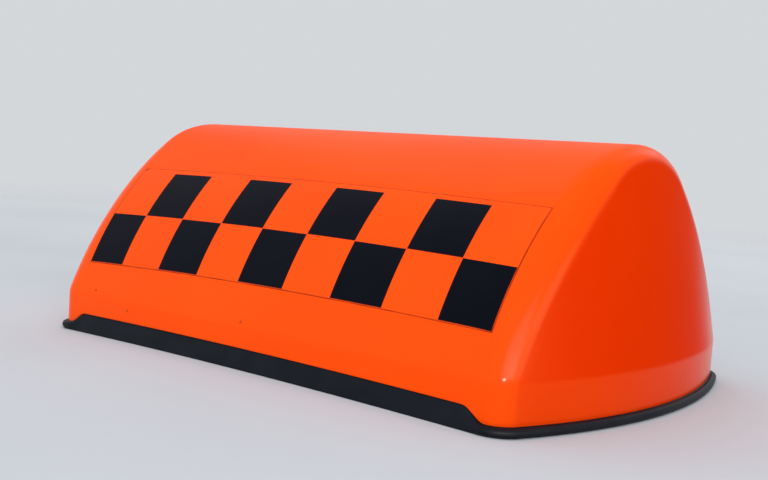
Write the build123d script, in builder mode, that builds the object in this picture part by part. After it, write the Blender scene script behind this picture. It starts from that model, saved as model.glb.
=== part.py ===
"""Illuminated taxi roof sign: a moulded cover with a chequered film on each face, over a black base.

The sign is as long as the car is wide (X), faces forwards (-Y) and backwards (+Y), and stands on a
rubber rim. Its base follows the crown of a car's roof, and four magnets in rubber boots hold it there.
Heights named "over the roof" are measured up from that crown. Millimetres, +Z up.
"""
import os
from math import acos, asin, cos, pi, radians, sin, sqrt, tan

from build123d import *

# Cover: a loaf-shaped moulding, cut to two leaning, bowed ends
cover_length = 370.0
cover_depth = 234.0
cover_wall = 3.0
skirt_height = 17.7
face_lean = 18.7
face_radius = 193.5
top_radius = 80.4
end_lean = 8.8
end_bow_radius = 306.0
ridge_radius = 15.0
crease_ease = 1.0

# Relief along the cover's front and back edge, and the cable outlet at the back
relief_inset = 42.0
relief_height = 6.3
relief_slope = 35.0
relief_round = 8.0
outlet_radius = 7.5

# Roof that the base is shaped to, and the rubber rim that stands on it
roof_radius = 7000.0
rim_height = 4.7
bead_reach = 3.6
bead_bevel = 1.5
rim_tread = 9.0
apron_setback = 0.5
apron_gap = 0.2

# Base tray inside the cover
fit_gap = 0.4
tray_wall = 2.5
tray_height = 22.0
floor_thickness = 2.5
rib_thickness = 2.0
rib_clearance = 1.2
rib_pitch_x = 70.0
rib_pitch_y = 58.0
rib_columns = 5
rib_rows = 3

# Rubber boots with the magnets moulded in, each in a well of the tray
magnet_inset_x = 67.0
magnet_inset_y = 55.0
magnet_radius = 29.0
magnet_thickness = 8.0
boot_wall = 4.0
boot_sole = 3.0
boot_bevel = 0.8
well_gap = 0.3
well_wall = 2.5

# Screw bosses in the cover
boss_inset_x = 37.0
boss_inset_y = 20.0
boss_radius = 4.5
pilot_radius = 1.5
pilot_depth = 16.0
screw_hole_radius = 2.2

# Cable gland in the tray's back wall
gland_bore = 2.6
gland_neck = 4.4
gland_flange = 6.4
gland_lip = 4.9
gland_flange_thickness = 2.0
gland_lip_thickness = 1.5
gland_nose = 3.5

# Chequered film: rows and columns of squares, measured along the face
square = 33.7
square_columns = 9
square_rows = 2
film_foot = 23.8
film_top_margin = 3.5
film_foot_margin = 0.6
film_trim_left = 4.1
film_trim_right = 2.6
film_arch = 2.7
film_turn = 0.21
film_thickness = 0.3
glue_line = 0.15
square_gap = 0.15

# Worked-out sizes
half_length = cover_length / 2
half_depth = cover_depth / 2
bow_centre = end_bow_radius - half_length
foot_reach = half_length + bead_reach - bead_bevel
crown_rise = roof_radius - sqrt(roof_radius**2 - foot_reach**2)
cover_foot = crown_rise + rim_height
crease_z = cover_foot + skirt_height
crease_radius = ridge_radius + crease_ease
corner = (pi / 2 + asin(half_depth / end_bow_radius)) / 2
bevel_share = (1 / sin(corner) - 1) / cos(corner)
lean = radians(face_lean)
face_turn = (face_radius * cos(lean) - half_depth) / (face_radius - top_radius)
face_centre_y = -half_depth + face_radius * cos(lean)
face_centre_z = crease_z - face_radius * sin(lean)
turn_z = face_centre_z + face_radius * sqrt(1 - face_turn**2)
top_z = turn_z + top_radius * (1 - sqrt(1 - face_turn**2))
below, above = -2 * skirt_height, top_z + skirt_height
tray_inset = cover_wall + fit_gap
floor_top = rim_height + floor_thickness
gland_height = floor_top + gland_lip + fit_gap
magnet_height = boot_sole + magnet_thickness
boot_radius = magnet_radius + boot_wall
well_radius = boot_radius + well_gap
magnet_x, magnet_y = half_length - magnet_inset_x, half_depth - magnet_inset_y
boss_x, boss_y = half_length - boss_inset_x, half_depth - boss_inset_y
film_half = square * square_columns / 2
square_foot = 2 * glue_line + film_thickness
film_tilt = lean + (film_foot + square * square_rows / 2) / face_radius
film_normal = (0, -cos(film_tilt), sin(film_tilt))
film_plane = Plane(
    origin=(0, face_centre_y + face_radius * film_normal[1], face_centre_z + face_radius * film_normal[2]),
    x_dir=(1, 0, 0),
    z_dir=film_normal,
)
film_reach = square / 2
column_edges = [
    min(max(column * square, film_trim_left), 2 * film_half - film_trim_right) - film_half
    for column in range(square_columns + 1)
]


def roof_at(x):
    """Height of the roof's crown at a place along the sign."""
    return crown_rise - roof_radius + sqrt(roof_radius**2 - x**2)


def roof_layer(low, high):
    """A slab that follows the roof's crown, between two heights over the roof."""
    span = half_length + 4 * bead_reach
    with BuildPart() as layer:
        with BuildSketch(Plane.XZ):
            with BuildLine():
                lower = ThreePointArc((-span, roof_at(span) + low), (0, crown_rise + low), (span, roof_at(span) + low))
                upper = ThreePointArc((-span, roof_at(span) + high), (0, crown_rise + high), (span, roof_at(span) + high))
                Line(lower @ 0, upper @ 0)
                Line(lower @ 1, upper @ 1)
            make_face()
        extrude(amount=cover_depth, both=True)
    return layer.part


def plan(out):
    """The cover's outline at its foot, moved out (or in, below zero) by a distance."""
    with BuildSketch() as outline:
        Rectangle(2 * cover_length, cover_depth)
        for side in (1, -1):
            with Locations((-side * bow_centre, 0)):
                Circle(end_bow_radius, mode=Mode.INTERSECT)
        fillet(outline.vertices(), ridge_radius)
        if out:
            offset(amount=out)
    return outline.sketch


def is_level(edge):
    """Whether an edge keeps one height."""
    return edge.bounding_box().size.Z < fit_gap / 10


def ring(out, inner, low, high):
    """A band of the plan between two outlines and two heights over the roof."""
    with BuildPart() as band:
        with BuildSketch(Plane.XY.offset(below)):
            add(plan(out))
            add(plan(inner), mode=Mode.SUBTRACT)
        extrude(amount=above - below)
        add(roof_layer(low, high), mode=Mode.INTERSECT)
    return band.part


def panel(out, low, high):
    """A sheet of the plan between two heights over the roof."""
    with BuildPart() as sheet:
        with BuildSketch(Plane.XY.offset(below)):
            add(plan(out))
        extrude(amount=above - below)
        add(roof_layer(low, high), mode=Mode.INTERSECT)
    return sheet.part


def moulding(inset):
    """The cover's form, set in by a wall: a loaf section cut by two leaning, bowed ends, with eased ridges.

    The skirt runs straight down from the crease. The crease is rounder than the ridges, so that the ridges'
    rounding rolls over it. Inside, a bevel that touches the skirt's rounding keeps the wall along the ridges.
    """
    angles = (lean, (lean + acos(face_turn)) / 2, acos(face_turn))
    foot, belly, turn = (
        (face_centre_y - face_radius * cos(angle), face_centre_z + face_radius * sin(angle)) for angle in angles
    )
    end_x = half_length - inset
    end_crease = crease_z - inset * tan(radians(end_lean) / 2)
    end_top = end_x - (above - end_crease) * tan(radians(end_lean))
    with BuildPart() as form:
        with BuildSketch(Plane.YZ) as section:
            with BuildLine():
                ThreePointArc(foot, belly, turn)
                ThreePointArc(turn, (0, top_z), (-turn[0], turn[1]))
                ThreePointArc((-turn[0], turn[1]), (-belly[0], belly[1]), (-foot[0], foot[1]))
                Polyline((-foot[0], foot[1]), (-foot[0], below), (foot[0], below), foot)
            make_face()
            fillet(section.vertices().group_by(Axis.Y)[1], crease_radius)
            if inset:
                offset(amount=-inset)
        extrude(amount=cover_length, both=True)
        for side in (1, -1):
            axis_x = -side * bow_centre
            foot_line = [(axis_x, below), (side * end_x, below), (side * end_x, end_crease)]
            with BuildSketch(Plane.XZ) as profile:
                Polygon(*foot_line, (side * end_top, above), (axis_x, above), align=None)
                fillet(profile.vertices().group_by(Axis.Y)[1], crease_radius - inset)
            revolve(axis=Axis((axis_x, 0, 0), (0, 0, 1)), mode=Mode.INTERSECT)
        ridges = form.edges().filter_by(lambda edge: not is_level(edge))
        if inset:
            chamfer(ridges, (ridge_radius - inset) * bevel_share)
        else:
            fillet(ridges, ridge_radius)
    return form.part


def edge_cut(drop=0):
    """All that lies under the cover's edge, or under a line a drop below it.

    The edge follows the roof and is raised between the corners.
    """
    span = half_length + 4 * bead_reach
    shoulder = half_length - relief_inset
    foot = shoulder + relief_height / tan(radians(relief_slope))

    def over_roof(x, height):
        return (x, roof_at(x) + height - drop)

    with BuildPart() as cut:
        with BuildSketch(Plane.XZ) as profile:
            with BuildLine():
                for side in (-1, 1):
                    ThreePointArc(
                        over_roof(side * span, rim_height),
                        over_roof(side * (span + foot) / 2, rim_height),
                        over_roof(side * foot, rim_height),
                    )
                    Line(over_roof(side * foot, rim_height), over_roof(side * shoulder, rim_height + relief_height))
                    Line(over_roof(side * span, rim_height), (side * span, below))
                ThreePointArc(
                    over_roof(-shoulder, rim_height + relief_height),
                    over_roof(0, rim_height + relief_height),
                    over_roof(shoulder, rim_height + relief_height),
                )
                Line((-span, below), (span, below))
            make_face()
            fillet(profile.vertices().sort_by(lambda corner: abs(corner.X))[:4], relief_round)
        extrude(amount=cover_depth, both=True)
    return cut.part


def outlet():
    """The arched way for the cable, from behind the sign to inside its back wall."""
    with BuildPart() as way:
        with BuildSketch(Plane.XZ.offset(-cover_depth)):
            with Locations((0, crown_rise + gland_height)):
                Circle(outlet_radius)
            with Locations((0, crown_rise)):
                Rectangle(2 * outlet_radius, gland_height, align=(Align.CENTER, Align.MIN))
        extrude(amount=cover_depth - magnet_y)
    return way.part


def apron():
    """The rim's wall, which rises out of the rim to just under the raised part of the cover's edge."""
    with BuildPart() as wall:
        add(ring(-apron_setback, -cover_wall, 0, rim_height + relief_height))
        add(edge_cut(apron_gap), mode=Mode.INTERSECT)
        add(outlet(), mode=Mode.SUBTRACT)
    return wall.part


def seat_plane(x, y):
    """The plane that lies on the roof's crown under a magnet."""
    tilt = asin(x / roof_radius)
    return Plane(origin=(x, y, roof_at(x)), x_dir=(cos(tilt), 0, -sin(tilt)), z_dir=(sin(tilt), 0, cos(tilt)))


magnet_places = {
    f"{row}_{column}": (x * magnet_x, y * magnet_y)
    for row, y in (("front", -1), ("back", 1))
    for column, x in (("left", -1), ("right", 1))
}


def on_film(x, along):
    """A place on the film, in the plane that touches its middle: along is measured up the face from the film's foot."""
    arc = film_foot + along + x * tan(radians(film_turn)) - film_arch * (x / film_half) ** 2
    return (x, face_radius * sin(lean + arc / face_radius - film_tilt))


def film_layer(under, over):
    """A sheet over the curved face, between two heights above it."""
    with BuildPart() as sheet:
        with BuildSketch(Plane.YZ):
            with BuildLine():
                sides = []
                for height in (under, over):
                    low, middle, high = (
                        (
                            face_centre_y - (face_radius + height) * cos(angle),
                            face_centre_z + (face_radius + height) * sin(angle),
                        )
                        for angle in (lean, film_tilt, acos(face_turn))
                    )
                    ThreePointArc(low, middle, high)
                    sides.append((low, high))
                Line(sides[0][0], sides[1][0])
                Line(sides[0][1], sides[1][1])
            make_face()
        extrude(amount=cover_length / 2, both=True)
    return sheet.part


def film():
    """The clear film that carries the squares, on the front face."""
    left, right = column_edges[0], column_edges[-1]
    low, high = -film_foot_margin, square_rows * square + film_top_margin
    with BuildPart() as sheet:
        with BuildSketch(film_plane):
            with BuildLine():
                bottom = ThreePointArc(on_film(left, low), on_film(0, low), on_film(right, low))
                top = ThreePointArc(on_film(left, high), on_film(0, high), on_film(right, high))
                Line(bottom @ 0, top @ 0)
                Line(bottom @ 1, top @ 1)
            make_face()
        extrude(amount=film_reach, both=True)
        add(film_layer(glue_line, glue_line + film_thickness), mode=Mode.INTERSECT)
    return sheet.part


def squares():
    """The black squares on the front film, each clear of the next by a hair at its corners."""
    with BuildPart() as tiles:
        with BuildSketch(film_plane):
            for row in range(square_rows):
                for column in range(row % 2, square_columns, 2):
                    left = column_edges[column] + square_gap
                    right = column_edges[column + 1] - square_gap
                    low, high = row * square + square_gap, (row + 1) * square - square_gap
                    corners = [on_film(left, low), on_film(right, low), on_film(right, high), on_film(left, high)]
                    Polygon(*corners, align=None)
        extrude(amount=film_reach, both=True)
        add(film_layer(square_foot, square_foot + film_thickness), mode=Mode.INTERSECT)
    return tiles.part


# Cover: a hollow moulding with its edge cut to the roof, four bosses, the reliefs and the cable outlet
with BuildPart() as cover:
    add(moulding(0))
    add(moulding(cover_wall), mode=Mode.SUBTRACT)
    add(edge_cut(), mode=Mode.SUBTRACT)
    with BuildPart(mode=Mode.PRIVATE) as bosses:
        with BuildSketch(Plane.XY):
            with GridLocations(2 * boss_x, 2 * boss_y, 2, 2):
                Circle(boss_radius)
        extrude(amount=top_z)
        add(moulding(cover_wall / 2), mode=Mode.INTERSECT)
        add(roof_layer(below, floor_top), mode=Mode.SUBTRACT)
    add(bosses.part)
    add(outlet(), mode=Mode.SUBTRACT)
    with Locations(Plane.XY.offset(crown_rise + floor_top)):
        with GridLocations(2 * boss_x, 2 * boss_y, 2, 2):
            Cylinder(pilot_radius, 2 * pilot_depth, mode=Mode.SUBTRACT)

# Base tray: floor and wall inside the cover, ribs and magnet wells below
with BuildPart() as base_tray:
    add(panel(-tray_inset, rim_height, floor_top))
    add(ring(-tray_inset, -tray_inset - tray_wall, rim_height, tray_height))
    with BuildPart(mode=Mode.PRIVATE) as ribs:
        with BuildSketch():
            with GridLocations(rib_pitch_x, 0, rib_columns, 1):
                Rectangle(rib_thickness, cover_depth)
            with GridLocations(0, rib_pitch_y, 1, rib_rows):
                Rectangle(cover_length, rib_thickness)
        extrude(amount=crown_rise + floor_top - below, both=True)
        add(panel(-rim_tread - fit_gap, rib_clearance, floor_top), mode=Mode.INTERSECT)
    add(ribs.part)
    for x, y in magnet_places.values():
        with Locations(seat_plane(x, y)):
            Cylinder(
                well_radius + well_wall,
                magnet_height + well_wall - rib_clearance,
                align=(Align.CENTER, Align.CENTER, Align.MIN),
            )
            Cylinder(
                well_radius,
                magnet_height,
                align=(Align.CENTER, Align.CENTER, Align.MIN),
                mode=Mode.SUBTRACT,
            )
    with GridLocations(2 * boss_x, 2 * boss_y, 2, 2):
        Cylinder(screw_hole_radius, 4 * tray_height, mode=Mode.SUBTRACT)
    with Locations(Plane((0, half_depth, crown_rise + gland_height), z_dir=(0, 1, 0))):
        Cylinder(gland_neck, 4 * (tray_inset + tray_wall), mode=Mode.SUBTRACT)

# Rubber rim under the cover's edge, with an eased bead outside and an apron that closes the relief
with BuildPart() as rim_seal:
    add(ring(bead_reach, -rim_tread, 0, rim_height))
    outer = plan(bead_reach / 2).faces()[0]
    bead = rim_seal.edges().filter_by(
        lambda edge: not outer.is_inside(Vector(edge.center().X, edge.center().Y, 0))
    )
    chamfer(bead, bead_bevel)
    add(apron())

# Film and squares on the front face, and the same turned round on the back
with BuildPart() as film_front:
    add(film())
with BuildPart() as film_back:
    add(film_front.part.rotate(Axis.Z, 180))
with BuildPart() as squares_front:
    add(squares())
with BuildPart() as squares_back:
    add(squares_front.part.rotate(Axis.Z, 180))

# Cable gland: a rubber bush, flanged on both sides of the tray's back wall
with BuildPart() as cable_gland:
    with BuildSketch(Plane.YZ):
        with BuildLine():
            inner, outer = half_depth - tray_inset - tray_wall, half_depth - tray_inset
            Polyline(
                (inner - gland_lip_thickness, gland_bore),
                (inner - gland_lip_thickness, gland_lip),
                (inner, gland_lip),
                (inner, gland_neck),
                (outer, gland_neck),
                (outer, gland_flange),
                (outer + gland_flange_thickness, gland_flange),
                (outer + gland_flange_thickness, gland_neck),
                (outer + gland_flange_thickness + gland_nose, gland_neck),
                (outer + gland_flange_thickness + gland_nose, gland_bore),
                close=True,
            )
        make_face()
    revolve(axis=Axis.Y)
cable_gland.part.position = (0, 0, crown_rise + gland_height)

pieces = {
    "cover": cover.part,
    "film_front": film_front.part,
    "film_back": film_back.part,
    "squares_front": squares_front.part,
    "squares_back": squares_back.part,
    "base_tray": base_tray.part,
    "rim_seal": rim_seal.part,
    "cable_gland": cable_gland.part,
}

# Rubber boots with the magnets moulded in, face to face with the wells' ends
for place, (x, y) in magnet_places.items():
    with BuildPart(seat_plane(x, y)) as boot:
        Cylinder(boot_radius, magnet_height, align=(Align.CENTER, Align.CENTER, Align.MIN))
        chamfer(boot.edges().filter_by(GeomType.CIRCLE).sort_by(Axis.Z)[0], boot_bevel)
    pieces[f"boot_{place}"] = boot.part

os.makedirs("parts", exist_ok=True)
for name, piece in pieces.items():
    piece.label = name
    export_step(piece, f"parts/{name}.step")
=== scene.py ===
import bmesh
import bpy
import numpy as np
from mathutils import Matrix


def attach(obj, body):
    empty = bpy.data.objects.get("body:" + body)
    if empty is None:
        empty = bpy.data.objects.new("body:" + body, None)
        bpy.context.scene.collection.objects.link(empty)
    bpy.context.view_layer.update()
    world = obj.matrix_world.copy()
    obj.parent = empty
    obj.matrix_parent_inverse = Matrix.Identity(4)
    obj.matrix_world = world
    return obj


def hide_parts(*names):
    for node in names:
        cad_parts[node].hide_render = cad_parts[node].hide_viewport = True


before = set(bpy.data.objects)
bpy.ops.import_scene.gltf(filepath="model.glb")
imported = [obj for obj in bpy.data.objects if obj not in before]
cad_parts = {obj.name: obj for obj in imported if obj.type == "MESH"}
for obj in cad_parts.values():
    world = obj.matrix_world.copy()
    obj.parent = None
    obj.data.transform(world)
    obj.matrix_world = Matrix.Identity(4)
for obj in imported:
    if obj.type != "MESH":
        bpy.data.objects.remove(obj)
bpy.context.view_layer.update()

# Cover: the hollow housing of the roof light, moulded in one piece of orange plastic, 3 mm thick. A loaf-shaped
# section is cut off by two leaning, bowed ends, coloured a deeper red as painted shade; the ridges between them
# and the crease above the straight skirt are rounded. The foot follows the crown of the roof, and is raised
# between the corners.
cover_length, cover_depth, cover_wall = 0.370, 0.234, 0.003
skirt_height = 0.0177
face_lean, face_radius, top_radius = np.radians(18.7), 0.1935, 0.0804
end_lean, end_bow_radius = np.radians(8.8), 0.306
ridge_radius, ridge_growth = 0.0105, 0.001
ridge_swell, swell_rise, swell_width = 0.0085, 0.3, 0.3
crease_radius, crease_swell, crease_reach = 0.0085, 0.0095, 0.0031
relief_inset, relief_height, relief_slope, relief_round = 0.042, 0.0063, np.radians(35.0), 0.008
roof_radius, rim_height, bead_reach, bead_bevel = 7.0, 0.0047, 0.0036, 0.0015
outlet_radius, outlet_height = 0.0075, 0.0125
lip_round = 0.0005

half_length, half_depth = cover_length / 2, cover_depth / 2
bow_centre = end_bow_radius - half_length
foot_reach = half_length + bead_reach - bead_bevel
crown_rise = roof_radius - np.sqrt(roof_radius**2 - foot_reach**2)
crease_z = crown_rise + rim_height + skirt_height
face_turn = np.arccos((face_radius * np.cos(face_lean) - half_depth) / (face_radius - top_radius))
face_centre_y = -half_depth + face_radius * np.cos(face_lean)
face_centre_z = crease_z - face_radius * np.sin(face_lean)
top_centre_z = face_centre_z + (face_radius - top_radius) * np.sin(face_turn)
shoulder_x = half_length - relief_inset
shoulder_foot_x = shoulder_x + relief_height / np.tan(relief_slope)
upward = np.array([0.0, 0.0, 1.0])


def roof_at(x):
    """Height of the crown of the roof at x: a circle's arc that is crown_rise high at the middle."""
    return crown_rise - roof_radius + np.sqrt(roof_radius**2 - x**2)


def section_at(angle, lift=0.0):
    """The loaf's section where its normal has this angle over level: a point on the face's circle up to the turn,
    and on the top's smaller circle past it, lifted off the surface by a height."""
    face = angle <= face_turn
    radius = np.where(face, face_radius, top_radius) + lift
    centre_y, centre_z = np.where(face, face_centre_y, 0.0), np.where(face, face_centre_z, top_centre_z)
    return centre_y - radius * np.cos(angle), centre_z + radius * np.sin(angle)


def bow_radius_at(z):
    """Radius of the bowed end at a height: a cone that loses the tangent of its lean per unit of height."""
    return end_bow_radius - (z - crease_z) * np.tan(end_lean)


def end_normal_at(turn):
    """The end's outward normal: it points along its bow's turn, and is tipped up by the end's lean."""
    level = np.cos(end_lean)
    return np.stack([level * np.cos(turn), level * np.sin(turn), np.sin(end_lean) + 0 * turn], -1)


def ridge_at(angle, share):
    """The rounded ridge: a ball rolls inside the corner of face and end, and swells by a bell curve of its way up.
    Its centre lies one radius in from both, and the surface turns about it from the face's normal (share 0) to the
    end's (share 1)."""
    angle, share = np.broadcast_arrays(angle, share)
    y, z = section_at(angle)
    rise = (angle - face_lean) / (np.pi / 2 - face_lean)
    ball = ridge_radius + ridge_swell * np.exp(-(((rise - swell_rise) / swell_width) ** 2)) + ridge_growth * rise
    ball_y, ball_z = y + ball * np.cos(angle), z - ball * np.sin(angle)
    reach = bow_radius_at(ball_z) - ball / np.cos(end_lean)
    ball_x = np.sqrt(reach**2 - ball_y**2) - bow_centre
    face_normal = np.stack([0 * angle, -np.cos(angle), np.sin(angle)], -1)
    end_normal = end_normal_at(np.arctan2(ball_y, ball_x + bow_centre))
    between = np.arccos((face_normal * end_normal).sum(-1))[..., None]
    share = share[..., None]
    normal = (np.sin((1 - share) * between) * face_normal + np.sin(share * between) * end_normal) / np.sin(between)
    return np.stack([ball_x, ball_y, ball_z], -1) + ball[..., None] * normal, normal


def angle_at(height, share):
    """The section's angle at which the ridge passes a height, found by halving an interval forty times."""
    low, high = np.full_like(share, face_lean - 0.2), np.full_like(share, np.pi / 2)
    for _ in range(40):
        middle = (low + high) / 2
        under = ridge_at(middle, share)[0][:, 2] < height
        low, high = np.where(under, middle, low), np.where(under, high, middle)
    return (low + high) / 2


face_foot_half = 0.1515
outlet_steps = np.array([0, 1.5, 3, 4.5, 5.7, 6.6, 7.2, 7.45, 7.5, 7.51, 8.2]) / 1000 / face_foot_half
face_shares = np.concatenate([outlet_steps, np.linspace(0.075, 0.9, 30), np.linspace(0.91, 1.0, 16)])
ridge_shares = np.linspace(0, 1, 15)
end_shares = np.linspace(0, 1, 17)[1:]


def front_right_quarter(angles):
    """Rows of points and normals over a quarter of the form. From each ridge's first point the face runs level to
    the middle, and from its last one the end runs along its bow to the middle."""
    ridge, ridge_normal = ridge_at(angles, ridge_shares[None])
    face = ridge[:, :1] * np.stack([face_shares, 0 * face_shares + 1, 0 * face_shares + 1], -1)
    face_normal = np.broadcast_to(ridge_normal[:, :1], face.shape)
    last = ridge[:, -1:]
    turn = np.arctan2(last[..., 1], last[..., 0] + bow_centre) * (1 - end_shares)
    radius = bow_radius_at(last[..., 2])
    end = np.stack([radius * np.cos(turn) - bow_centre, radius * np.sin(turn), last[..., 2] + 0 * turn], -1)
    points = np.concatenate([face, ridge[:, 1:], end], 1)
    return points, np.concatenate([face_normal, ridge_normal[:, 1:], end_normal_at(turn)], 1)


def all_round(quarter):
    """A quarter's rows mirrored to the back, then to the left, then to the front: one closed loop a row."""
    back_right = quarter[:, -2::-1] * [1, -1, 1]
    back_left = quarter[:, 1:] * [-1, -1, 1]
    front_left = quarter[:, -2:0:-1] * [-1, 1, 1]
    return np.concatenate([quarter, back_right, back_left, front_left], 1)


def edge_over_roof(x):
    """Height of the cover's edge over the roof: the rim's height at the corners, a slope up to the raised middle,
    and a circle's arc at the slope's head and foot."""
    side = np.abs(x)
    reach = relief_round * np.tan(relief_slope / 2)
    height = rim_height + relief_height - (side - shoulder_x) * np.tan(relief_slope)
    head, foot = side - (shoulder_x - reach), (shoulder_foot_x + reach) - side
    head_arc = rim_height + relief_height - relief_round + np.sqrt(np.maximum(relief_round**2 - head**2, 0))
    foot_arc = rim_height + relief_round - np.sqrt(np.maximum(relief_round**2 - foot**2, 0))
    run = reach * (1 + np.cos(relief_slope))
    height = np.where(head < run, head_arc, height)
    height = np.where(foot < run, foot_arc, height)
    height = np.where(head < 0, rim_height + relief_height, height)
    return np.where(foot < 0, rim_height, height)


def grid_faces(rows, columns):
    """Corners of the four-sided faces between neighbouring rows and columns of a grid, whose last column meets its
    first."""
    row, column = np.meshgrid(np.arange(rows - 1), np.arange(columns), indexing="ij")
    a, b = row * columns + column, row * columns + (column + 1) % columns
    return np.stack([a, b, b + columns, a + columns], -1).reshape(-1, 4)


def make_piece(name, points, faces, finish, replaced=None, to_edge=None):
    """One mesh object from whole arrays, smooth but for edges that turn by more than 35 degrees: points that
    coincide are merged, and if the volume it closes comes out below zero, its faces are turned round."""
    mesh = bpy.data.meshes.new(name)
    mesh.from_pydata(points.reshape(-1, 3).tolist(), [], faces.tolist())
    if to_edge is not None:
        values = to_edge.ravel().astype(np.float32)
        mesh.attributes.new("to_edge", "FLOAT", "POINT").data.foreach_set("value", values)
    shape = bmesh.new()
    shape.from_mesh(mesh)
    bmesh.ops.remove_doubles(shape, verts=shape.verts, dist=2e-6)
    bmesh.ops.dissolve_degenerate(shape, edges=shape.edges, dist=1e-6)
    if shape.calc_volume(signed=True) < 0:
        bmesh.ops.reverse_faces(shape, faces=shape.faces)
    shape.to_mesh(mesh)
    shape.free()
    mesh.polygons.foreach_set("use_smooth", np.ones(len(mesh.polygons), bool))
    mesh.set_sharp_from_angle(angle=np.radians(35.0))
    mesh.materials.append(finish)
    piece = bpy.data.objects.new(name, mesh)
    bpy.context.scene.collection.objects.link(piece)
    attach(piece, "root")
    if replaced:
        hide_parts(replaced)


dome_rows, blend_rows, skirt_steps = 76, 8, 9
dome_foot = angle_at(crease_z + crease_reach, ridge_shares)
climb = np.linspace(1, 0, dome_rows)[:, None]
dome, dome_normal = front_right_quarter(dome_foot + (np.pi / 2 - dome_foot) * climb)
crease, crease_normal = front_right_quarter(angle_at(crease_z, ridge_shares)[None])
outward = crease_normal * [1, 1, 0]
outward /= np.linalg.norm(outward, axis=-1, keepdims=True)
tilt = np.arcsin(crease_normal[..., 2:])
near_corner = np.concatenate([face_shares**10, 0 * ridge_shares[1:] + 1, (1 - end_shares) ** 4])[:, None]
blend_radius = crease_radius + crease_swell * near_corner
blend_centre = crease - blend_radius * (outward + np.tan(tilt / 2) * upward)
blend_turn = tilt * np.linspace(1, 0, blend_rows)[:, None, None]
blend_normal = np.cos(blend_turn) * outward + np.sin(blend_turn) * upward
blend = blend_centre + blend_radius * blend_normal
outside = all_round(np.concatenate([dome, blend]))
outside_normal = all_round(np.concatenate([dome_normal, blend_normal]))
outline, outline_normal = outside[-1], outside_normal[-1]

at_outlet = (outline[:, 1] > 0) & (np.abs(outline[:, 0]) <= outlet_radius + 1e-6)
arch = outlet_height + np.sqrt(np.maximum(outlet_radius**2 - outline[:, 0] ** 2, 0))
cover_edge = roof_at(outline[:, 0]) + np.where(at_outlet, arch, edge_over_roof(outline[:, 0]))


def skirt_rows(inset, shares, top):
    """Level loops down the skirt, set in along its outline's normal, from its top to just over the edge."""
    rows = np.repeat((outline - inset * outline_normal)[None], len(shares), 0)
    rows[..., 2] = top[:, 2] + (cover_edge + lip_round - top[:, 2]) * shares[:, None]
    return rows


lip_insets = np.array([0.00015, 0.0005, 0.0015, 0.0025, 0.00285])
lip_rise = np.array([0.00015, 0.0, 0.0, 0.0, 0.00015])
lip = outline[None] - lip_insets[:, None, None] * outline_normal
lip[..., 2] = cover_edge + lip_rise[:, None]
inside = outside - cover_wall * outside_normal
down = np.linspace(0, 1, skirt_steps)[1:]
outer_skirt, inner_skirt = skirt_rows(0.0, down, outside[-1]), skirt_rows(cover_wall, down[::-1], inside[-1])
cover_rows = np.concatenate([outside, outer_skirt, lip, inner_skirt, inside[::-1]])


def node_maker(tree):
    """A short way to add a node of a kind to a tree, its inputs set to values or fed by other nodes."""

    def node(kind, inputs=(), **settings):
        made = tree.nodes.new("ShaderNode" + kind)
        for key, value in settings.items():
            setattr(made, key, value)
        for socket, value in dict(inputs).items():
            if isinstance(value, bpy.types.NodeSocket):
                tree.links.new(value, made.inputs[socket])
            else:
                made.inputs[socket].default_value = value
        return made

    return node


def new_finish(name, levels):
    """A material whose shader has levels set on it, with what adds a node, what feeds the shader, and the place on
    the object."""
    finish = bpy.data.materials.new(name)
    finish.use_nodes = True
    tree = finish.node_tree
    shader = tree.nodes["Principled BSDF"]
    for socket, value in levels.items():
        shader.inputs[socket].default_value = value
    node = node_maker(tree)

    def feed(source, socket):
        tree.links.new(source, shader.inputs[socket])

    return finish, node, feed, node("TexCoord").outputs["Object"]


def linear(red, green, blue):
    """A colour written as a screen shows it, 0 to 255, as the light values that a material takes."""
    c = np.array([red, green, blue]) / 255
    c = np.where(c <= 0.04045, c / 12.92, ((c + 0.055) / 1.055) ** 2.4)
    return (*map(float, c), 1.0)


def ramp(node, value, low, high, first=0.0, last=1.0, kind="LINEAR"):
    """A value carried from the range low to high over to the range first to last, and held at its ends."""
    ends = {"From Min": low, "From Max": high, "To Min": first, "To Max": last}
    return node("MapRange", {"Value": value, **ends}, interpolation_type=kind).outputs["Result"]


def worked_out(node, operation, *values):
    """One value worked out from one or two others."""
    return node("Math", dict(enumerate(values)), operation=operation).outputs[0]


def tinted(node, share, first, second):
    """The first colour mixed with a share of the second."""
    return node("Mix", {"Factor": share, 6: first, 7: second}, data_type="RGBA").outputs[2]


def noise(node, place, scale, detail):
    """Soft noise of a scale, about 0.5 on average."""
    return node("TexNoise", {"Vector": place, "Scale": scale, "Detail": detail}).outputs["Fac"]


def mottled(node, place, first, second, scale):
    """Two close colours mixed by soft noise of a scale."""
    return tinted(node, ramp(node, noise(node, place, scale, 3.0), 0.35, 0.65), first, second)


def ruffled(node, height, strength, depth, **under):
    """The surface's normal tilted by the slope of a height, over another normal where one is given."""
    return node("Bump", {"Height": height, "Strength": strength, "Distance": depth, **under}).outputs["Normal"]


def speck(node, place, at, radius):
    """How much of a small soft speck of dirt covers a place: one at its middle, none past its radius."""
    away = node("VectorMath", {0: place, 1: at}, operation="DISTANCE")
    return ramp(node, away.outputs["Value"], radius, 0.3 * radius)


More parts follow.
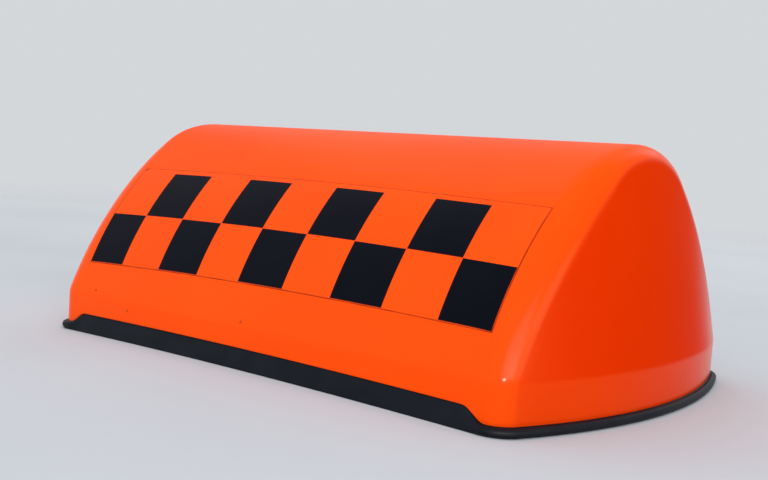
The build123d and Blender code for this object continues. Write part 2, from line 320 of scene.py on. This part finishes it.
orange, node, feed, place = new_finish("orange_moulding", {"IOR": 1.12})
facing = node("SeparateXYZ", {0: place.node.outputs["Normal"]})
sideways = worked_out(node, "ABSOLUTE", facing.outputs["X"])
height = node("SeparateXYZ", {0: place}).outputs["Z"]
# Painted shade: where the surface faces sideways, on the ends, its colour turns to a darker, deeper red; below the
# crease the skirt takes only half of it, which paints the skirt lighter than the ends above it.
over_crease = ramp(node, height, crease_z - 0.0015, crease_z + 0.0015, kind="SMOOTHSTEP")
redder = ramp(node, over_crease, 0.0, 1.0, 0.5, 1.0)
painted_end_shade = worked_out(node, "MULTIPLY", ramp(node, sideways, 0.87, 0.965, kind="SMOOTHSTEP"), redder)
long_sides = mottled(node, place, linear(255, 79, 0), linear(252, 75, 0), 9.0)
ends = mottled(node, place, linear(238, 55, 0), linear(234, 52, 0), 9.0)
cover_colour = tinted(node, painted_end_shade, long_sides, ends)

stray = ramp(node, noise(node, place, 700.0, 2.0), 0.0, 1.0, -0.0006, 0.0006)
strayed = node("VectorMath", {0: place, 1: stray}, operation="ADD").outputs["Vector"]
specks = (
    ((-0.1315, -0.1159, 0.0279), 0.0013),
    ((-0.0993, -0.117, 0.0198), 0.0010),
    ((-0.004, -0.1161, 0.0275), 0.0014),
)
dirt = 0.0
for at, radius in specks:
    dirt = worked_out(node, "MAXIMUM", dirt, speck(node, strayed, at, radius))
dirt = worked_out(node, "MULTIPLY", dirt, 0.6)
feed(tinted(node, dirt, cover_colour, linear(120, 38, 10)), "Base Color")

dull_crown = ramp(node, facing.outputs["Z"], 0.6, 0.95, 0.0, 0.6, kind="SMOOTHSTEP")
dull_end = worked_out(node, "MULTIPLY", ramp(node, sideways, 0.90, 0.98, 0.0, 0.96, kind="SMOOTHSTEP"), redder)
dulled = worked_out(node, "MAXIMUM", dull_crown, dull_end)
feed(worked_out(node, "SUBTRACT", 1.0, dulled), "Specular IOR Level")
feed(ramp(node, dull_crown, 0.0, 1.0, 0.19, 0.6), "Roughness")
wavy = ruffled(node, noise(node, place, 14.0, 1.0), 0.5, 0.0012)
feed(ruffled(node, noise(node, place, 420.0, 2.0), 0.12, 0.0001, Normal=wavy), "Normal")
make_piece("cover_moulding", cover_rows, grid_faces(*cover_rows.shape[:2]), orange, "cover")

# Chequered film: a thin self-adhesive strip on the front and the back face, laid by hand, so it bows a little
# and its end columns are cut narrower. Two rows of black squares are printed on orange; along its edge runs a
# thin darker line.
square, square_columns, square_rows = 0.03356, 9, 2
film_foot, film_top_margin, film_foot_margin, film_side_margin = 0.0241, 0.0035, 0.0006, 0.0005
film_trim_left, film_trim_right, film_arch, film_turn = 0.0024, 0.0040, 0.0031, np.radians(0.375)
film_shear, film_flare, film_keystone, film_slant, film_shift = -0.00034, 0.00085, -0.00076, 0.0006, 0.0021
film_low, film_high, print_high = 0.00008, 0.00022, 0.00030
square_gap = 0.00014
film_half = square * square_columns / 2


def on_face(x, along, lift):
    """A place on the face: along is an arc's length up the face from the film's foot. The film turns a little and
    sags towards its ends by the square of the distance from the middle; row by row its columns lean and spread,
    both ends shift to the right, and the cut of the right end slants out over the last column."""
    share, row = x / film_half, along / square
    arc = film_foot + along + x * np.tan(film_turn) - film_arch * share**2 + film_keystone * share * row
    y, z = section_at(face_lean + arc / face_radius, lift)
    slant = film_slant * np.maximum(row, 0) ** 1.5 * np.clip((x - film_half) / square + 1, 0, None)
    return np.stack([x + film_shift * share**2 + (film_shear + film_flare * share) * row + slant, y, z], -1)


def laid_strip(left, right, low, high, under, over, across, up):
    """A closed thin strip on the face: loops that go over its top from left to right and back beneath, and at both
    ends a loop that lies flat on its underside. With it comes each point's distance to the strip's edge, which
    counts 1.4 times to the upper edge, where the darker edge line is thinner."""
    x, along = np.meshgrid(np.linspace(left, right, across), np.linspace(low, high, up))
    top, bottom = on_face(x, along, over), on_face(x, along, under)
    loops, flat = np.concatenate([top, bottom[:, ::-1]], 1), np.concatenate([bottom, bottom[:, ::-1]], 1)
    away = np.minimum(np.minimum(x - left, right - x), np.minimum(along - low, 1.4 * (high - along)))
    away = np.concatenate([away, away[:, ::-1]], 1)
    return np.concatenate([flat[:1], loops, flat[-1:]]), np.concatenate([away[:1], away, away[-1:]])


def repeated_faces(copies):
    """The faces of copies of one grid that lie one after the other in an array."""
    first = grid_faces(*copies.shape[1:3])
    return (first + np.arange(len(copies))[:, None, None] * copies[0, ..., 0].size).reshape(-1, 4)


column_edges = np.arange(square_columns + 1) * square
column_edges = np.clip(column_edges, film_trim_left, 2 * film_half - film_trim_right) - film_half
film_top = square_rows * square + film_top_margin
film_ends = column_edges[0], column_edges[-1] + film_side_margin
film_rows, film_to_edge = laid_strip(*film_ends, -film_foot_margin, film_top, film_low, film_high, 80, 26)
tiles = []
for row in range(square_rows):
    for column in range(row % 2, square_columns, 2):
        sides = column_edges[column] + square_gap, column_edges[column + 1] - square_gap
        levels = row * square + square_gap, (row + 1) * square - square_gap
        tiles.append(laid_strip(*sides, *levels, film_high, print_high, 10, 10)[0])
tiles = np.stack(tiles)

film_levels = {"Roughness": 0.26, "IOR": 1.12, "Specular IOR Level": 1.0}
film_finish, node, feed, place = new_finish("orange_film", film_levels)
film_colour = mottled(node, place, linear(255, 80, 0), linear(253, 75, 0), 16.0)
to_edge = node("Attribute", attribute_name="to_edge").outputs["Fac"]
# A thin line along the film's edge is coloured darker, thinner at the top and made uneven by noise.
edge_line = ramp(node, to_edge, 0.0002, 0.0008, 0.9, 0.0)
uneven_edge = ramp(node, noise(node, place, 90.0, 3.0), 0.3, 0.6, 0.55, 1.0)
edge_darkening = worked_out(node, "MULTIPLY", edge_line, uneven_edge)
feed(tinted(node, edge_darkening, film_colour, linear(120, 34, 8)), "Base Color")

print_levels = {"Roughness": 0.28, "IOR": 1.12, "Specular IOR Level": 0.8}
print_finish, node, feed, place = new_finish("black_print", print_levels)
feed(mottled(node, place, linear(4, 6, 17), linear(7, 9, 21), 22.0), "Base Color")

film_faces, tile_faces = grid_faces(*film_rows.shape[:2]), repeated_faces(tiles)
for side, way in (("front", 1), ("back", -1)):
    strip, squares = film_rows * [way, way, 1], tiles * [way, way, 1]
    make_piece(f"film_strip_{side}", strip, film_faces, film_finish, f"film_{side}", film_to_edge)
    make_piece(f"printed_squares_{side}", squares, tile_faces, print_finish, f"squares_{side}")

# Rubber rim: a moulded strip round the foot of the cover, its flat tread run in under the tray. At the ends it
# has a round bead and a groove beside the cover's edge; under the raised edge its face rises to close the gap.
bead_radius, bead_clearance, apron_gap = 0.00225, 0.00003, 0.0002
face_foot_radius, face_foot_out, face_top_in = 0.0007, 0.0019, 0.0004
relief_top = rim_height + relief_height - apron_gap


def arc_points(centre, radius, turns):
    """Points on a circle about a centre, at turns in degrees."""
    turns = np.radians(turns)
    return np.array(centre) + radius * np.stack([np.cos(turns), np.sin(turns)], -1)


bead_out = bead_reach - bead_clearance - bead_radius
bead = arc_points([bead_out, rim_height / 2], bead_radius, np.linspace(-84, 96, 19))
face_foot = arc_points([face_foot_out, face_foot_radius], face_foot_radius, np.linspace(-84, 17, 6))
face_top = np.array([-face_top_in, relief_top - face_top_in])
flat_face = face_foot[-1] + (face_top - face_foot[-1]) * np.linspace(0, 1, 14)[1:, None]
tread_foot = np.array([[-8.5, 0.0], [-5.0, 0.0]]) / 1000
tread_end = np.array([[-8.5, 4.7], [-8.9, 4.5], [-9.0, 4.2], [-9.0, 0.5], [-8.9, 0.15], [-8.5, 0.0]]) / 1000
groove = np.array([
    [0.75, 4.25], [0.45, 4.05], [0.1, 4.05], [-0.25, 4.3], [-0.5, 4.7], [-3.0, 4.7], [-3.4, 4.7],
]) / 1000
apron_top = np.array([[-0.55, -0.15], [-0.8, 0.0], [-1.8, 0.0], [-2.8, 0.0], [-3.0, -0.2]]) / 1000
apron_top = apron_top + [0, relief_top]
apron_back = [[-0.003, rim_height], [-0.0034, rim_height]]
low_profile = np.concatenate([tread_foot, [[0.0006, 0.0]], bead, groove, tread_end])
tall_profile = np.concatenate([
    tread_foot, [[0.0009, 0.0]], face_foot, flat_face, apron_top, apron_back, tread_end,
])


def along_outline(low, tall, share):
    """A profile of steps out from the cover's outline and up from the roof's crown, carried all round the foot. It
    changes from the low profile to the tall one by a share that each place of the outline has."""
    profile = low[:, None] + (tall - low)[:, None] * share[None, :, None]
    loops = outline[None] + profile[..., :1] * outline_normal[None]
    loops[..., 2] = roof_at(loops[..., 0]) + profile[..., 1]
    return loops


rubber_levels = {"Roughness": 0.5, "IOR": 1.3, "Specular IOR Level": 0.3}
rubber, node, feed, place = new_finish("black_rubber", rubber_levels)
feed(mottled(node, place, linear(11, 17, 25), linear(17, 23, 31), 60.0), "Base Color")
rippled = ruffled(node, noise(node, place, 45.0, 1.0), 0.5, 0.0006)
feed(ruffled(node, noise(node, place, 900.0, 3.0), 0.3, 0.0001, Normal=rippled), "Normal")
raised = np.where(at_outlet, 0, (edge_over_roof(outline[:, 0]) - rim_height) / relief_height)
rim_rows = along_outline(low_profile, tall_profile, raised)
make_piece("rubber_rim", rim_rows, grid_faces(*rim_rows.shape[:2]), rubber, "rim_seal")

# Base tray: the black plastic moulding inside the cover's foot. Its wall shows where the cover's edge is raised,
# and its ribs, its wells and its screw holes show from below.
tray_finish, node, feed, place = new_finish("black_moulding", {"Roughness": 0.55, "IOR": 1.35})
feed(mottled(node, place, linear(24, 27, 33), linear(29, 32, 38), 35.0), "Base Color")
tray_grain = node("TexVoronoi", {"Vector": place, "Scale": 1400.0}).outputs["Distance"]
feed(ruffled(node, tray_grain, 0.35, 0.0001), "Normal")
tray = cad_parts["base_tray"]
tray.data.materials.clear()
tray.data.materials.append(tray_finish)

# Magnet boots: a 58 mm magnet is moulded into each rubber boot, which sits in its well. Three ring grooves in
# the sole keep it from sliding, and the boot leans with the crown of the roof.
magnet_x, magnet_y = half_length - 0.067, half_depth - 0.055
boot_radius, boot_height, boot_edge, boot_chamfer = 0.033, 0.011, 0.001, 0.0005
sole_radius = boot_radius - boot_edge
groove_radii = np.array([[0.0124], [0.0204], [0.0284]])
groove_steps = np.array([-0.9, -0.55, -0.35, 0.35, 0.55, 0.9]) / 1000
groove_depths = np.array([0.0, 0.08, 0.7, 0.7, 0.08, 0.0]) / 1000
sole_radii = np.concatenate([[0.0], (groove_radii + groove_steps).ravel(), [sole_radius]])
sole_heights = np.concatenate([[0.0], np.tile(groove_depths, len(groove_radii)), [0.0]])
boot_profile = np.concatenate([
    np.stack([sole_radii, sole_heights], -1),
    arc_points([sole_radius, boot_edge], boot_edge, np.linspace(-90, 0, 7)[1:]),
    [[boot_radius, boot_height - boot_chamfer], [boot_radius - boot_chamfer, boot_height], [0.0, boot_height]],
])


def turned(profile, steps):
    """A profile of radii and heights turned about the upright axis, one loop a profile point."""
    turn = np.linspace(0, 2 * np.pi, steps + 1)[:-1]
    return np.stack([profile[:, :1] * np.cos(turn), profile[:, :1] * np.sin(turn), profile[:, 1:] + 0 * turn], -1)


boot = turned(boot_profile, 72)
boot_faces = grid_faces(*boot.shape[:2])
boot_places = ("front_left", -1, -1), ("front_right", 1, -1), ("back_left", -1, 1), ("back_right", 1, 1)
for name, across, deep in boot_places:
    lean = np.arcsin(across * magnet_x / roof_radius)
    axes = np.array([[np.cos(lean), 0, -np.sin(lean)], [0, 1, 0], [np.sin(lean), 0, np.cos(lean)]])
    seat = np.array([across * magnet_x, deep * magnet_y, roof_at(magnet_x)])
    make_piece(f"magnet_boot_{name}", seat + boot @ axes, boot_faces, rubber, f"boot_{name}")

# Cable gland: a moulded rubber bush that grips the tray's back wall between its flange and its lip. The bore
# through it, for a cable 5 mm thick, is open.
tray_gap, tray_wall = 0.0004, 0.0025
gland_wall_in = half_depth - cover_wall - tray_gap - tray_wall
gland_profile = np.array([
    [2.6, -1.2], [2.8, -1.5], [4.6, -1.5], [4.9, -1.2], [4.9, -0.2], [4.7, 0.0], [4.4, 0.0],
    [4.4, 2.5], [6.1, 2.5], [6.4, 2.8], [6.4, 4.2], [6.1, 4.5], [4.8, 4.5], [4.4, 4.9],
    [4.35, 6.9], [4.2, 7.5], [3.8, 7.9], [3.2, 8.0], [2.8, 7.9], [2.6, 7.6], [2.6, -1.2],
]) / 1000
bush = turned(gland_profile, 48)
bush = np.stack([-bush[..., 0], gland_wall_in + bush[..., 2], crown_rise + outlet_height + bush[..., 1]], -1)
make_piece("cable_bush", bush, grid_faces(*bush.shape[:2]), rubber, "cable_gland")

# Screws: four zinc-plated steel screws with pan heads. They are driven from below through the tray's floor into
# the cover's bosses, and hold the two together. Each head has a cross recess.
screw_x, screw_y, head_drop = half_length - 0.037, half_depth - 0.020, 0.0021
head_radius, head_crown, head_rings = 0.0032, 0.00035, 15
cross_half, cross_reach, cross_depth, cross_flank, cross_end = 0.00075, 0.0021, 0.0012, 0.0003, 0.0005
head_radii = np.linspace(0, 1, head_rings) ** 0.8 * head_radius
crown = np.stack([head_radii, head_crown * (head_radii / head_radius) ** 2], -1)
shank = np.array([
    [3.45, 0.35], [3.6, 0.9], [3.6, 1.9], [3.5, 2.0], [2.0, 2.0], [2.0, 7.0], [1.2, 8.2], [0.0, 9.0],
]) / 1000
screw = turned(np.concatenate([crown, shank]), 48)
head_x, head_y = screw[:head_rings, :, 0], screw[:head_rings, :, 1]
off_arm = np.minimum(np.abs(head_x), np.abs(head_y))
in_arm = np.clip((cross_half - off_arm) / cross_flank, 0, 1)
in_reach = np.clip((cross_reach - np.hypot(head_x, head_y)) / cross_end, 0, 1)
screw[:head_rings, :, 2] += cross_depth * in_arm * in_reach
screw_z = roof_at(screw_x) + rim_height - head_drop
screws = np.stack([
    screw + np.array([across * screw_x, deep * screw_y, screw_z]) for across in (-1, 1) for deep in (-1, 1)
])
zinc, node, feed, place = new_finish("zinc_plate", {"Metallic": 1.0, "Roughness": 0.35})
feed(mottled(node, place, linear(168, 170, 172), linear(150, 152, 150), 300.0), "Base Color")
make_piece("tray_screws", screws, repeated_faces(screws), zinc)

# Floor and light: a pale floor that fades far off into an even pale backdrop. Soft light comes from all round,
# more of it from the front, with a broad lamp at the right and one behind. Three weak lamps at the right only
# make the sheen on the near ridge, along the bead and at the corner.
floor_turns = np.linspace(0, 2 * np.pi, 97)[:-1]
floor_radii = np.concatenate([np.linspace(0, 0.5, 41), [0.6, 0.8, 1.2, 2.0, 4.0, 9.0]])[:, None]
floor_x, floor_y = floor_radii * np.cos(floor_turns), floor_radii * np.sin(floor_turns)


def floor_height(x, y):
    """The floor swells under the sign as the crown does that its foot is shaped to, falls away past the ends by an
    exponential, and is level far in front and behind."""
    out = np.abs(x) / foot_reach
    past_ends = crown_rise * (np.exp(2 - 2 * np.maximum(out, 1)) - 1)
    swell = np.where(out < 1, roof_at(np.minimum(np.abs(x), foot_reach)), past_ends)
    far = np.clip((np.abs(y) - 0.15) / 0.45, 0, 1)
    return (swell + crown_rise) * (1 - far * far * (3 - 2 * far)) - crown_rise


floor_rows = np.stack([floor_x, floor_y, floor_height(floor_x, floor_y)], -1)
floor_mesh = bpy.data.meshes.new("studio_floor")
floor_mesh.from_pydata(floor_rows.reshape(-1, 3).tolist(), [], grid_faces(*floor_rows.shape[:2]).tolist())
floor_mesh.polygons.foreach_set("use_smooth", np.ones(len(floor_mesh.polygons), bool))
floor = bpy.data.objects.new("studio_floor", floor_mesh)
bpy.context.scene.collection.objects.link(floor)
pale, node, feed, place = new_finish("pale_floor", {"Roughness": 0.6, "Specular IOR Level": 0.0})
feed(mottled(node, place, linear(205, 209, 214), linear(200, 204, 210), 3.0), "Base Color")
from_middle = node("VectorMath", {0: place}, operation="LENGTH").outputs["Value"]
tree = pale.node_tree
solid, clear = tree.nodes["Principled BSDF"].outputs[0], node("BsdfTransparent").outputs[0]
fade = ramp(node, from_middle, 0.5, 2.5, kind="SMOOTHSTEP")
faded = node("MixShader", {0: fade, 1: solid, 2: clear})
tree.links.new(faded.outputs[0], tree.nodes["Material Output"].inputs["Surface"])
floor_mesh.materials.append(pale)

world = bpy.data.worlds.new("studio")
world.use_nodes = True
tree = world.node_tree
node = node_maker(tree)
around = node("TexCoord").outputs["Generated"]
toward_front = node("VectorMath", {0: around, 1: (-0.15, -0.86, 0.49)}, operation="DOT_PRODUCT").outputs["Value"]
soft_light = tree.nodes["Background"]
soft_light.inputs["Color"].default_value = (0.96, 0.98, 1.0, 1.0)
tree.links.new(ramp(node, toward_front, -0.2, 1.0, 0.22, 1.35), soft_light.inputs["Strength"])
backdrop = node("Background", {"Color": linear(212, 215, 218)})
ray = node("LightPath").outputs
shown = ray["Is Camera Ray"]
for kind in ("Is Glossy Ray", "Is Transmission Ray"):
    shown = worked_out(node, "MAXIMUM", shown, ray[kind])
surround = node("MixShader", {0: shown, 1: soft_light.outputs[0], 2: backdrop.outputs[0]})
tree.links.new(surround.outputs[0], tree.nodes["World Output"].inputs["Surface"])
bpy.context.scene.world = world


def add_lamp(name, kind, place, aim, power, colour=(1.0, 1.0, 1.0), gloss_only=False, **settings):
    """A lamp of a kind that looks at a point and isn't seen itself; it can be left to light the gloss alone."""
    lamp = bpy.data.lights.new(name, kind)
    lamp.energy, lamp.color = power, colour
    for key, value in settings.items():
        setattr(lamp, key, value)
    holder = bpy.data.objects.new(name, lamp)
    back = np.array(place, float) - np.array(aim, float)
    holder.location = place
    holder.rotation_euler = (np.arccos(back[2] / np.linalg.norm(back)), 0.0, np.arctan2(back[0], -back[1]))
    holder.visible_camera, holder.visible_diffuse = False, not gloss_only
    bpy.context.scene.collection.objects.link(holder)


lit_corner = (0.169, -0.108, 0.026)
ridge_tint, side_tint, corner_tint = (1.0, 0.86, 0.56), (1.0, 0.9, 0.72), (1.0, 0.9, 0.74)
right_size = {"shape": "RECTANGLE", "size": 1.6, "size_y": 0.9}
ridge_size = {"shape": "RECTANGLE", "size": 1.6, "size_y": 0.6}
back_size = {"shape": "RECTANGLE", "size": 3.0, "size_y": 2.0}
narrow = {"spot_size": np.radians(1.7), "spot_blend": 1.0, "shadow_soft_size": 0.04}
add_lamp("right_lamp", "AREA", (1.66, -1.29, 0.94), (0.1, 0.0, 0.05), 19.0, **right_size)
add_lamp("ridge_lamp", "AREA", (2.46, -1.44, 0.95), lit_corner, 22.0, ridge_tint, True, **ridge_size)
add_lamp("side_lamp", "AREA", (2.66, -0.02, 0.72), lit_corner, 16.0, side_tint, True, **right_size)
add_lamp("corner_lamp", "SPOT", (2.07, -2.15, 0.83), lit_corner, 600.0, corner_tint, True, **narrow)
add_lamp("back_lamp", "AREA", (-0.48, 1.33, 1.69), (0.0, 0.0, 0.05), 16.0, **back_size)

# Camera: it stands at about the sign's height, 0.65 m from its middle, off its front right corner. It is rolled
# by 3.9 degrees, as one held by hand is.
view = bpy.data.cameras.new("view")
view.lens, view.sensor_width = 50.085, 36.0
view.clip_start, view.clip_end = 0.01, 50.0
camera = bpy.data.objects.new("view", view)
camera.location = (0.40622, -0.50775, 0.11916)
camera.rotation_euler = np.radians([85.6224, -3.8551, 39.2221])
bpy.context.scene.collection.objects.link(camera)
bpy.context.scene.camera = camera
bpy.context.scene.view_settings.view_transform = "Standard"
